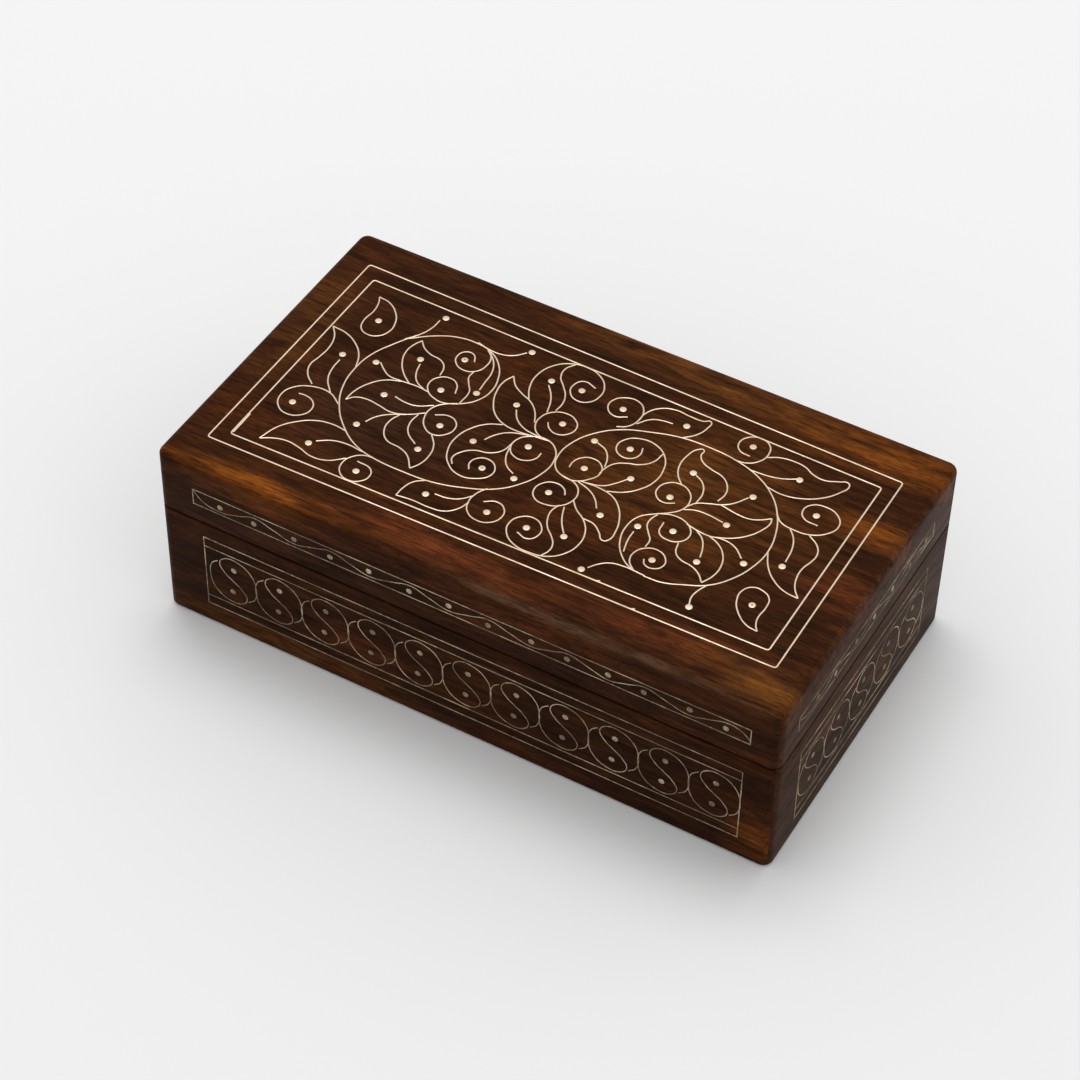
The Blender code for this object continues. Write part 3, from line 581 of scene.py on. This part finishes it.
def rosewood(name, grain, tone, places=(), seed=0.0):
    """Dark open-pored rosewood with its grain along one axis. Each place is a patch of another colour: the
    wood's own colour, or a painted highlight.
    """
    wood = Finish(name, (0.013 * seed, 0.021 * seed, 0.017 * seed))
    clouds = wood.noise(along_grain(grain, 45, 110), 3.0, 0.55, 0.8)
    streaks = wood.noise(along_grain(grain, 95, 620), 5.0, 0.62, 0.8)
    lines = wood.noise(along_grain(grain, 260, 2900), 3.0, 0.6, 0.4)
    pores = wood.noise(along_grain(grain, 700, 6500), 1.0, 0.5)
    dark, middle, light = tone
    colour = wood.ramp(streaks, [(0.26, dark), (0.50, middle), (0.76, light)])
    shades = [(0.28, (0.68, 0.68, 0.74)), (0.50, (1.0, 1.0, 1.0)), (0.72, (1.38, 1.26, 1.08))]
    colour = wood.mix(1.0, colour, wood.ramp(clouds, shades), "MULTIPLY")
    for centre, size, shade, amount in places:
        patch = wood.spot(centre, size)
        patch = wood.math("MULTIPLY", patch, wood.ramp(clouds, [(0.34, 0.35), (0.60, 1.25)]))
        patch = wood.math("MULTIPLY", patch, wood.ramp(streaks, [(0.36, 0.30), (0.60, 1.25)]))
        patch = wood.math("MULTIPLY", patch, amount, clamp=True)
        colour = wood.mix(patch, colour, shade)
    colour = wood.mix(1.0, colour, wood.ramp(lines, [(0.30, 0.55), (0.50, 1.0), (0.72, 1.38)]), "MULTIPLY")
    crowd = wood.ramp(clouds, [(0.42, 0.55), (0.60, 0.0)])
    pits = wood.mix(crowd, wood.ramp(pores, [(0.32, 0.0), (0.40, 1.0)]), (1.0, 1.0, 1.0))
    colour = wood.mix(1.0, colour, wood.ramp(pits, [(0.0, 0.38), (1.0, 1.0)]), "MULTIPLY")
    gloss = wood.ramp(streaks, [(0.3, 0.46), (0.7, 0.36)])
    wood.set(Base_Color=colour, Roughness=gloss, Specular_IOR_Level=0.02)
    height = wood.math("ADD", wood.math("MULTIPLY", lines, 0.4), pits)
    wood.bump(height, 0.00004, 0.6)
    return wood.material


def brass(name, colour, dull_colour, roughness, tarnish):
    """Worn brass: polished high places, dull patches and fine scratches."""
    metal = Finish(name)
    patches = metal.noise((230, 230, 230), 4.0, 0.6)
    grime = metal.noise((1500, 1500, 1500), 3.0, 0.6)
    scratches = metal.noise((900, 7000, 7000), 2.0, 0.6)
    worn = metal.math("ADD", metal.math("MULTIPLY", patches, 0.7), metal.math("MULTIPLY", grime, 0.3))
    worn = metal.ramp(worn, [(0.5 - tarnish, 0.0), (0.62, 1.0)])
    rough = metal.ramp(worn, [(0.0, min(1.0, roughness * 1.7)), (1.0, roughness)])
    metal.set(Base_Color=metal.mix(worn, dull_colour, colour), Roughness=rough, Metallic=1.0)
    metal.bump(metal.math("ADD", scratches, grime), 0.00001, 0.5)
    return metal.material


def velvet(name, colour, shadow):
    """Short-pile velvet: a soft nap with brushed patches and a pale edge glow."""
    cloth = Finish(name)
    pile = cloth.noise((5200, 5200, 5200), 2.0, 0.7)
    brushed = cloth.noise((85, 140, 110), 4.0, 0.6, 0.8)
    base = cloth.mix(cloth.ramp(brushed, [(0.35, 0.0), (0.65, 1.0)]), shadow, colour)
    base = cloth.mix(1.0, base, cloth.ramp(pile, [(0.25, 0.6), (0.7, 1.15)]), "MULTIPLY")
    cloth.set(Base_Color=base, Roughness=0.95, Specular_IOR_Level=0.1)
    cloth.set(Sheen_Weight=0.8, Sheen_Roughness=0.35, Sheen_Tint=(0.9, 0.35, 0.35))
    cloth.bump(cloth.math("ADD", pile, cloth.math("MULTIPLY", brushed, 0.6)), 0.00015, 0.8)
    return cloth.material


TOP_TONE = ((0.0175, 0.0056, 0.0022), (0.041, 0.0120, 0.0034), (0.078, 0.0230, 0.0052))
# Painted shade: the front and back boards are the top's rosewood made darker, because the front face gets
# less light.
SHADED_SIDE_TONE = ((0.010, 0.0034, 0.0012), (0.027, 0.0080, 0.0022), (0.056, 0.0170, 0.0040))
END_TONE = ((0.018, 0.0068, 0.0026), (0.042, 0.0145, 0.0050), (0.078, 0.0280, 0.0090))
INSIDE_TONE = ((0.030, 0.0120, 0.0080), (0.075, 0.0280, 0.0140), (0.120, 0.0480, 0.0220))

ORANGE = (0.225, 0.062, 0.007)
AMBER = (0.170, 0.058, 0.010)
RED_BROWN = (0.130, 0.032, 0.009)
GREY_BROWN = (0.030, 0.018, 0.014)
# Painted highlight: the paler colour of the rounded top edges, where the rounding reflects the surroundings.
EDGE_HIGHLIGHT = (0.105, 0.058, 0.034)

TOP_PLACES = [
    ((-0.035, -0.0268, HEIGHT), (0.026, 0.002, 0.01), ORANGE, 1.25),
    ((-0.006, -0.025, HEIGHT), (0.024, 0.004, 0.01), RED_BROWN, 1.1),
    ((0.026, -0.0225, HEIGHT), (0.02, 0.005, 0.01), RED_BROWN, 0.8),
    ((0.044, -0.0245, HEIGHT), (0.012, 0.005, 0.01), AMBER, 0.8),
    ((0.038, 0.0245, HEIGHT), (0.023, 0.006, 0.01), ORANGE, 0.7),
    ((0.01, 0.0255, HEIGHT), (0.028, 0.0045, 0.01), AMBER, 0.7),
    ((0.046, 0.009, HEIGHT), (0.009, 0.004, 0.01), ORANGE, 0.7),
    ((0.047, -0.004, HEIGHT), (0.008, 0.005, 0.01), RED_BROWN, 0.9),
    ((0.022, 0.004, HEIGHT), (0.026, 0.017, 0.01), AMBER, 0.5),
    ((-0.047, 0.005, HEIGHT), (0.006, 0.016, 0.01), AMBER, 0.5),
    ((-0.025, -0.006, HEIGHT), (0.02, 0.014, 0.01), GREY_BROWN, 0.4),
    # The last two patches are painted highlights along the rounded top edges, at the front and at the right
    # end.
    ((0.022, -HALF_WIDTH, HEIGHT - 0.0002), (0.04, 0.0012, 0.0012), EDGE_HIGHLIGHT, 1.0),
    ((HALF_LENGTH, 0.0, HEIGHT - 0.0002), (0.0011, 0.03, 0.0011), EDGE_HIGHLIGHT, 0.5),
]
FRONT_PLACES = [
    ((-0.034, -HALF_WIDTH, HEIGHT - 0.0008), (0.024, 0.01, 0.0014), ORANGE, 0.6),
    ((0.048, -HALF_WIDTH, 0.004), (0.006, 0.01, 0.006), ORANGE, 0.5),
    ((-0.02, -HALF_WIDTH, 0.009), (0.014, 0.01, 0.004), RED_BROWN, 0.5),
    ((-0.03, -HALF_WIDTH, 0.002), (0.03, 0.01, 0.003), AMBER, 0.5),
    ((0.0, -HALF_WIDTH, 0.03), (0.045, 0.01, 0.003), RED_BROWN, 0.3),
]

TOP_WOOD = rosewood("rosewood_top", "X", TOP_TONE, TOP_PLACES, 1.0)
# The front and back boards carry the darker tone, which is painted shade.
SHADED_LONG_WOOD = rosewood("rosewood_long_sides_shaded", "X", SHADED_SIDE_TONE, FRONT_PLACES, seed=4.0)
END_WOOD = rosewood("rosewood_ends", "Y", END_TONE, seed=7.0)
BOTTOM_WOOD = rosewood("rosewood_bottom", "X", INSIDE_TONE, seed=9.0)
TOP_BRASS = brass("brass_lid_inlay", (0.83, 0.68, 0.51), (0.66, 0.51, 0.36), 0.32, 0.12)
# Painted shade: the side strips are the same brass as the lid's, given a darker, duller colour for the dimmer
# light they catch.
SHADED_SIDE_BRASS = brass("brass_side_inlay_shaded", (0.53, 0.44, 0.30), (0.24, 0.19, 0.13), 0.45, 0.05)
HINGE_METAL = brass("brass_hinges", (0.80, 0.60, 0.32), (0.36, 0.24, 0.11), 0.30, 0.08)
VELVET = velvet("maroon_velvet", (0.17, 0.012, 0.022), (0.075, 0.005, 0.010))


# ---- camera, floor and lights

def set_camera():
    lens = bpy.data.cameras.new("camera")
    lens.lens = 105.864
    lens.sensor_width = 36.0
    lens.dof.use_dof = False
    camera = bpy.data.objects.new("camera", lens)
    camera.location = (0.15708, -0.28952, 0.35122)
    camera.rotation_euler = [math.radians(angle) for angle in (44.391, -0.886, 29.798)]
    add_to_scene(camera)
    bpy.context.scene.camera = camera


def lay_floor():
    bpy.ops.mesh.primitive_plane_add(size=3.0)
    floor = bpy.context.object
    floor.name = "floor"
    paper = Finish("floor_paper")
    paper.set(Base_Color=(0.86, 0.86, 0.86), Roughness=0.9)
    floor.data.materials.append(paper.material)


def light_studio():
    """An even white surround and one large softbox, high up and a little behind to the left."""
    world = bpy.data.worlds.new("studio")
    world.use_nodes = True
    world.node_tree.nodes["Background"].inputs["Color"].default_value = (1, 1, 1, 1)
    world.node_tree.nodes["Background"].inputs["Strength"].default_value = 0.76
    bpy.context.scene.world = world
    bpy.context.scene.view_settings.view_transform = "Standard"
    light = bpy.data.lights.new("softbox_back_left", "AREA")
    light.shape = "RECTANGLE"
    light.size = 0.7
    light.size_y = 0.5
    light.energy = 4.5
    lamp = bpy.data.objects.new("softbox_back_left", light)
    lamp.location = (-0.16, 0.27, 1.15)
    lamp.rotation_euler = (Vector((0, 0, 0.02)) - lamp.location).to_track_quat("-Z", "Y").to_euler()
    add_to_scene(lamp)


set_camera()
lay_floor()
light_studio()


# ---- boards

SIDE_TURNS = {"front": 0, "right": 90, "back": 180, "left": 270}


def outside_block(name, low, high, low_radius, high_radius):
    """One half of the box as a solid block with round corners and eased edges."""
    piece = block(name, (-HALF_LENGTH, -HALF_WIDTH, low), (HALF_LENGTH, HALF_WIDTH, high))
    bevel_where(piece, upright, CORNER_RADIUS, 12)
    bevel_where(piece, level_at(low), low_radius, 5)
    bevel_where(piece, level_at(high), high_radius, 6)
    return piece


def hollow(piece, low, high):
    """Opens a block right through, inside its four walls."""
    inside = Vector((HALF_LENGTH - WALL, HALF_WIDTH - WALL, 0))
    reach = Vector((0, 0, 0.01))
    cutter = block("hollow", -inside + Vector((0, 0, low)) - reach, inside + Vector((0, 0, high)) + reach)
    combine(piece, cutter, "DIFFERENCE")


def on_inner_rim(z):
    """A test for the edges of the opening at one height."""

    def wanted(edge, mesh):
        ends = [mesh.vertices[index].co for index in edge.vertices]
        inner_x = HALF_LENGTH - WALL + NEAR
        inner_y = HALF_WIDTH - WALL + NEAR
        return at_height(edge, mesh, z) and all(abs(end.x) < inner_x and abs(end.y) < inner_y for end in ends)

    return wanted


def mitre_planes(side):
    """Points and outward normals of the two mitre cuts at the ends of one wall."""
    corners = {
        "front": [(-1, -1), (1, -1)],
        "right": [(1, -1), (1, 1)],
        "back": [(1, 1), (-1, 1)],
        "left": [(-1, 1), (-1, -1)],
    }[side]
    outward = Matrix.Rotation(math.radians(SIDE_TURNS[side]), 3, "Z") @ Vector((0, -1, 0))
    planes = []
    for along_x, along_y in corners:
        point = Vector((along_x * HALF_LENGTH, along_y * HALF_WIDTH, 0))
        normal = Vector((along_x, -along_y, 0)).normalized()
        if normal.dot(outward) > 0:
            normal = -normal
        planes.append((point - normal * GLUE_LINE, normal))
    return planes


def four_walls(ring, body, kind):
    """Splits a ring at its mitres into the boards of the four sides."""
    for side in SIDE_TURNS:
        node = f"{body}_{side}_{kind}"
        wall = duplicate(ring, f"{node}_board")
        for point, normal in mitre_planes(side):
            cut(wall, point, normal)
        tidy_mesh(wall)
        smooth(wall)
        wood = SHADED_LONG_WOOD if side in ("front", "back") else END_WOOD
        finish_piece(wall, wood, body, [node])
    bpy.data.objects.remove(ring)


def make_base():
    ring = outside_block("base_ring", 0, BASE_TOP, BOTTOM_EDGE_RADIUS, SEAM_EDGE_RADIUS)
    hollow(ring, 0, BASE_TOP)
    bevel_where(ring, on_inner_rim(BASE_TOP), INNER_EDGE_RADIUS, 4)
    four_walls(ring, "base", "wall")
    low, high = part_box("base_bottom_board")
    board = block("base_bottom", low, high)
    bevel_where(board, level_at(low.z), BOARD_EDGE_RADIUS, 3)
    smooth(board)
    finish_piece(board, BOTTOM_WOOD, "base", ["base_bottom_board"])


def make_lid():
    whole = outside_block("lid_block", LID_BOTTOM, HEIGHT, SEAM_EDGE_RADIUS, TOP_EDGE_RADIUS)
    top = duplicate(whole, "lid_top")
    cut(top, (0, 0, RIM_TOP + GLUE_LINE), (0, 0, -1))
    tidy_mesh(top)
    smooth(top)
    finish_piece(top, TOP_WOOD, "lid", ["lid_top_board"])
    cut(whole, (0, 0, RIM_TOP - GLUE_LINE), (0, 0, 1))
    hollow(whole, LID_BOTTOM, RIM_TOP)
    bevel_where(whole, on_inner_rim(LID_BOTTOM), INNER_EDGE_RADIUS, 4)
    four_walls(whole, "lid", "rim")


make_base()
make_lid()


# ---- brass strips, wires and pegs

def strip_profile(name, width):
    """Cross-section of a strip on edge: straight flanks and a gently crowned top."""
    half = width / 2
    outline = [
        (-half, -STRIP_DEPTH),
        (half, -STRIP_DEPTH),
        (half, 0.0),
        (half * 0.72, STRIP_PROUD * 0.75),
        (0.0, STRIP_PROUD),
        (-half * 0.72, STRIP_PROUD * 0.75),
        (-half, 0.0),
    ]
    curve = bpy.data.curves.new(name, "CURVE")
    curve.dimensions = "2D"
    spline = curve.splines.new("POLY")
    spline.points.add(len(outline) - 1)
    for point, (across, up) in zip(spline.points, outline):
        point.co = (across, up, 0, 1)
    spline.use_cyclic_u = True
    profile = bpy.data.objects.new(name, curve)
    add_to_scene(profile)
    return profile


def lay_wires(name, paths, width, handle="AUTO", steps=7):
    """Strips on edge through lists of points, flat on z = 0, each a hair higher than the one before."""
    profile = strip_profile(f"{name}_profile", width)
    curve = bpy.data.curves.new(name, "CURVE")
    curve.dimensions = "3D"
    curve.twist_mode = "Z_UP"
    curve.resolution_u = steps
    curve.bevel_mode = "OBJECT"
    curve.bevel_object = profile
    curve.use_fill_caps = True
    for number, path in enumerate(paths):
        spline = curve.splines.new("BEZIER")
        spline.bezier_points.add(len(path) - 1)
        lift = STRIP_LIFT * (number % 5)
        for point, (across, up) in zip(spline.bezier_points, path):
            point.co = (across * MM, up * MM, lift)
            point.handle_left_type = handle
            point.handle_right_type = handle
    piece = bpy.data.objects.new(name, curve)
    add_to_scene(piece)
    select_only(piece)
    bpy.ops.object.convert(target="MESH")
    bpy.data.objects.remove(profile)
    tidy_mesh(piece)
    return piece


def punch(peg, radius):
    """A small punch mark in the middle of one peg's crown."""
    select_parts(peg, "FACE", lambda face, mesh: face.center.xy.length < 0.05 * radius and face.center.z > 0)
    bpy.ops.mesh.inset(thickness=0.03 * radius)
    bpy.ops.transform.translate(value=(0, 0, -0.35 * radius))
    leave_edit()


def drive_pegs(name, places, radius, punched=()):
    """Round brass pegs with a crowned, eased top, flat on z = 0: one is shaped and the rest are copies."""
    bpy.ops.mesh.primitive_cylinder_add(
        vertices=24, radius=radius, depth=STRIP_DEPTH, location=(0, 0, -STRIP_DEPTH / 2)
    )
    first = bpy.context.object
    settle()
    select_parts(first, "FACE", lambda face, mesh: face.normal.z > 0.5)
    for inset, lift in ((0.12, 0.55), (0.30, 0.35), (0.55, 0.10)):
        bpy.ops.mesh.inset(thickness=inset * radius * 0.8)
        bpy.ops.transform.translate(value=(0, 0, STRIP_PROUD * lift))
    leave_edit()
    pegs = [first]
    for number, (across, up) in enumerate(places[1:], 1):
        peg = duplicate(first, name)
        if number in punched:
            punch(peg, radius)
        peg.location = (across * MM, up * MM, 0)
        pegs.append(peg)
    first.location = (places[0][0] * MM, places[0][1] * MM, 0)
    select_only(*pegs)
    settle()
    bpy.ops.object.join()
    first.name = name
    return first


def mount(piece, face, push=0.0):
    """Moves flat work onto a face of the box: the lid's top, or a side, seen from outside."""
    if face == "top":
        piece.location = (0, 0, HEIGHT + push)
    else:
        turn = math.radians(SIDE_TURNS[face])
        distance = HALF_WIDTH if face in ("front", "back") else HALF_LENGTH
        piece.rotation_euler = (math.radians(90), 0, turn)
        piece.location = Matrix.Rotation(turn, 3, "Z") @ Vector((0, -distance - push, 0))
    select_only(piece)
    settle()
    smooth(piece, 50)
    return piece


ARC_SHARES = (0.0, 0.25, 0.5, 0.75, 1.0)


def rounded_loop(corners, radius):
    """A closed outline whose corners are cut by short arcs, as points for straight runs."""
    path = []
    count = len(corners)
    for index, place in enumerate(corners):
        here = Vector(place)
        before = (Vector(corners[index - 1]) - here).normalized()
        after = (Vector(corners[(index + 1) % count]) - here).normalized()
        for share in ARC_SHARES:
            first = here + before * radius * (1 - share)
            second = here + after * radius * share
            path.append(tuple(first.lerp(second, share)))
    return path


def border_path(corners, radius, join_from, join_to, step):
    """A border laid as one strip: it starts on the front run, goes round, and laps past its own start."""
    loop = rounded_loop(corners, radius)
    left, right = Vector(corners[0]), Vector(corners[1])

    def on_front(x):
        return left.lerp(right, (x - left.x) / (right.x - left.x))

    start = on_front(join_from)
    end = on_front(join_to)
    first_corner = loop[: len(ARC_SHARES)]
    others = loop[len(ARC_SHARES) :]
    return [tuple(start), *others, *first_corner, (end.x - 0.6, end.y), (end.x, end.y + step)]


def frame_paths(band):
    """The strips of a side frame: two ends and the long strips between them."""
    left, right = band["ends"]
    heights = band["strips"]
    paths = [[(left, height), (right, height)] for height in heights]
    reach = SIDE_WIDTH / MM / 2
    paths.append([(left, heights[0] - reach), (left, heights[-1] + reach)])
    paths.append([(right, heights[0] - reach), (right, heights[-1] + reach)])
    return paths


def s_figure(centre, height, scale):
    """One S figure: a single wire, the same either way up."""
    wide, tall = scale
    half = [(centre + across * wide, height + up * tall) for across, up in S_HALF]
    turned = [(centre - across * wide, height - up * tall) for across, up in reversed(S_HALF[1:])]
    return turned + half


def side_inlay(face, label, body, band, nodes):
    """Frame, figures or wave, and pegs of one band on a side."""
    frame_piece = lay_wires(f"{label}_frame_strips", frame_paths(band), SIDE_WIDTH, "VECTOR", 1)
    finish_piece(mount(frame_piece, face), SHADED_SIDE_BRASS, body, nodes)
    if "figures" in band:
        height = band["height"]
        scale = band["figure_scale"]
        paths = [s_figure(centre, height, scale) for centre in band["figures"]]
        pegs = [(centre + S_PEG[0], height + S_PEG[1]) for centre in band["figures"]]
        pegs += [(centre - S_PEG[0], height - S_PEG[1]) for centre in band["figures"]]
    else:
        paths = [band["wave"]]
        pegs = band["pegs"]
    wires = lay_wires(f"{label}_wires", paths, SIDE_WIDTH)
    finish_piece(mount(wires, face), SHADED_SIDE_BRASS, body)
    dots = drive_pegs(f"{label}_pegs", pegs, SIDE_PEG_RADIUS, band.get("punched", ()))
    finish_piece(mount(dots, face, SIDE_PEG_LIFT), SHADED_SIDE_BRASS, body)


def top_inlay():
    """The lid's borders, scrolls and pegs."""
    for label, corners, lap in (("outer", OUTER_BORDER, OUTER_LAP), ("inner", INNER_BORDER, INNER_LAP)):
        path = border_path(corners, BORDER_CORNER, *lap)
        patch = [BORDER_PATCH] if label == "inner" else []
        strip = lay_wires(f"lid_{label}_border_strip", [path, *patch], BORDER_WIDTH, "VECTOR", 1)
        finish_piece(mount(strip, "top"), TOP_BRASS, "lid", [f"lid_{label}_border"])
    scrolls = [on_lid(path) for path in TOP_WIRES]
    first, last = MIDDLE_GROUP
    left = [path for path in scrolls if path[0][0] < first]
    middle = [path for path in scrolls if first <= path[0][0] <= last]
    right = [path for path in scrolls if path[0][0] > last]
    for label, paths in (("left", left), ("middle", middle), ("right", right)):
        wires = lay_wires(f"lid_{label}_scroll_wires", paths, WIRE_WIDTH)
        finish_piece(mount(wires, "top"), TOP_BRASS, "lid")
    pegs = drive_pegs("lid_scroll_pegs", on_lid(TOP_PEGS), PEG_RADIUS, PUNCHED_TOP_PEGS)
    finish_piece(mount(pegs, "top", TOP_PEG_LIFT), TOP_BRASS, "lid")


top_inlay()
side_inlay("front", "base_front", "base", BASE_FRONT_BAND, ["base_front_frame"])
side_inlay("front", "lid_front", "lid", LID_FRONT_BAND, ["lid_front_frame"])
for end in ("left", "right"):
    side_inlay(end, f"base_{end}", "base", BASE_END_BAND, [f"base_{end}_frame"])
    side_inlay(end, f"lid_{end}", "lid", LID_END_BAND, [f"lid_{end}_frame"])


# ---- velvet trays

def make_lining(body, open_up):
    """A velvet tray against the walls, open at the seam, with soft inner corners."""
    node = f"{body}_lining"
    low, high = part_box(node)
    piece = block(f"{body}_velvet_lining", low, high)
    opening = 1 if open_up else -1
    closed_end = low.z if open_up else high.z
    select_parts(piece, "FACE", lambda face, mesh: face.normal.z * opening > 0.5)
    bpy.ops.mesh.delete(type="ONLY_FACE")
    bpy.ops.mesh.select_all(action="SELECT")
    bpy.ops.mesh.subdivide(number_cuts=1)
    leave_edit()
    bevel_where(piece, on_tray_corner(low, high), TRAY_CORNER_RADIUS, 5)
    bevel_where(piece, on_tray_rim(closed_end), TRAY_EDGE_RADIUS, 4)
    shell = piece.modifiers.new("cloth thickness", "SOLIDIFY")
    shell.thickness = CLOTH_THICKNESS
    shell.offset = -1.0
    shell.use_even_offset = True
    select_only(piece)
    bpy.ops.object.modifier_apply(modifier=shell.name)
    tidy_mesh(piece)
    smooth(piece, 40)
    finish_piece(piece, VELVET, body, [node])


def on_tray_corner(low, high):
    """A test for the upright edges at the four corners of a tray."""

    def wanted(edge, mesh):
        start = mesh.vertices[edge.vertices[0]].co
        on_end = min(abs(start.x - low.x), abs(start.x - high.x)) < NEAR
        on_side = min(abs(start.y - low.y), abs(start.y - high.y)) < NEAR
        return upright(edge, mesh) and on_end and on_side

    return wanted


def on_tray_rim(z):
    """A test for the outer edges of the closed end of a tray."""

    def wanted(edge, mesh):
        if not at_height(edge, mesh, z):
            return False
        faces = [face for face in mesh.polygons if set(edge.vertices) <= set(face.vertices)]
        return len(faces) == 2 and abs(faces[0].normal.dot(faces[1].normal)) < 0.5

    return wanted


make_lining("base", True)
make_lining("lid", False)


# ---- hinges

_, HINGE_AXIS_Y, HINGE_AXIS_Z = (corner("left_hinge_pin", 0) + corner("left_hinge_pin", 1)) / 2


def rod_on_axis(name, radius, low, high):
    """A rod along the hinge line, from one place across the box to another."""
    bpy.ops.mesh.primitive_cylinder_add(
        vertices=32,
        radius=radius,
        depth=high - low,
        location=((low + high) / 2, HINGE_AXIS_Y, HINGE_AXIS_Z),
        rotation=(0, math.radians(90), 0),
    )
    piece = bpy.context.object
    piece.name = name
    settle()
    return piece


def ease(piece, width, segments=2):
    """Eases every sharp edge of a piece."""
    modifier = piece.modifiers.new("eased edges", "BEVEL")
    modifier.width = width
    modifier.segments = segments
    modifier.limit_method = "ANGLE"
    modifier.angle_limit = math.radians(40)
    select_only(piece)
    bpy.ops.object.modifier_apply(modifier=modifier.name)


def on_plate_corner(z):
    """A test for the edges through a plate at its far corners."""

    def wanted(edge, mesh):
        start, end = (mesh.vertices[index].co for index in edge.vertices)
        return at_height(edge, mesh, z) and abs(start.x - end.x) < NEAR

    return wanted


def make_leaf(side, body, up):
    """One leaf: a plate on the back, its knuckles round the pin, and the bore through them."""
    node = f"{side}_hinge_{body}_leaf"
    low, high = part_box(node)
    middle = (low.x + high.x) / 2
    half_width = (high.x - low.x) / 2
    edge = HINGE_AXIS_Z + up * PLATE_ROOT
    far = high.z if up > 0 else low.z
    plate_low = (low.x, low.y, min(edge, far))
    plate_high = (high.x, low.y + PLATE_THICKNESS, max(edge, far))
    leaf = block(f"{node}_plate", plate_low, plate_high)
    bevel_where(leaf, on_plate_corner(far), PLATE_CORNER_RADIUS, 6)
    ease(leaf, PLATE_EASE)
    inner = half_width - KNUCKLE_LENGTH
    if body == "base":
        knuckles = [(-half_width, -inner), (inner, half_width)]
    else:
        knuckles = [(KNUCKLE_GAP - inner, inner - KNUCKLE_GAP)]
    for start, end in knuckles:
        heights = (edge + up * LUG_OVERLAP, HINGE_AXIS_Z + up * LUG_TIP)
        lug_low = (middle + start + LUG_INSET, low.y, min(heights))
        lug_high = (middle + end - LUG_INSET, low.y + PLATE_THICKNESS, max(heights))
        combine(leaf, block("lug", lug_low, lug_high), "UNION")
        knuckle = rod_on_axis("knuckle", KNUCKLE_RADIUS, middle + start, middle + end)
        ease(knuckle, KNUCKLE_EASE)
        combine(leaf, knuckle, "UNION")
    bore = rod_on_axis("bore", BORE_RADIUS, middle - 2 * half_width, middle + 2 * half_width)
    combine(leaf, bore, "DIFFERENCE")
    tidy_mesh(leaf)
    smooth(leaf)
    finish_piece(leaf, HINGE_METAL, body, [node])


def make_pin(side):
    node = f"{side}_hinge_pin"
    low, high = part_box(node)
    pin = rod_on_axis(f"{node}_rod", PIN_RADIUS, low.x, high.x)
    ease(pin, PIN_EASE, 4)
    tidy_mesh(pin)
    smooth(pin)
    finish_piece(pin, HINGE_METAL, "base", [node])


def make_nail(node, body):
    """A hand-made nail: domed head on the leaf and a tapering shank in the wood."""
    low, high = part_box(node)
    x = (low.x + high.x) / 2
    z = (low.z + high.z) / 2
    head = (high.x - low.x) / 2
    seat = high.y - NAIL_HEAD_HEIGHT
    outline = [
        (0.0, high.y),
        (0.30 * head, high.y - 0.02 * MM),
        (0.58 * head, high.y - 0.08 * MM),
        (0.82 * head, high.y - 0.17 * MM),
        (0.96 * head, high.y - 0.27 * MM),
        (head, seat),
        (0.35 * MM, seat),
        (0.33 * MM, seat - 1.5 * MM),
        (0.0, low.y),
    ]
    mesh = bpy.data.meshes.new(node)
    edges = [(number, number + 1) for number in range(len(outline) - 1)]
    mesh.from_pydata([(radius, y, 0) for radius, y in outline], edges, [])
    nail = bpy.data.objects.new(f"{node}_domed", mesh)
    add_to_scene(nail)
    edit_all(nail, "VERT")
    bpy.ops.mesh.spin(steps=24, angle=math.radians(360), center=(0, 0, 0), axis=(0, 1, 0))
    bpy.ops.mesh.select_all(action="SELECT")
    bpy.ops.transform.translate(value=(x, 0, z))
    leave_edit()
    tidy_mesh(nail)
    smooth(nail, 40)
    finish_piece(nail, HINGE_METAL, body, [node])


for side in ("left", "right"):
    make_pin(side)
    for body, up in (("base", -1), ("lid", 1)):
        make_leaf(side, body, up)
        for number in (1, 2):
            make_nail(f"{side}_hinge_{body}_nail_{number}", body)
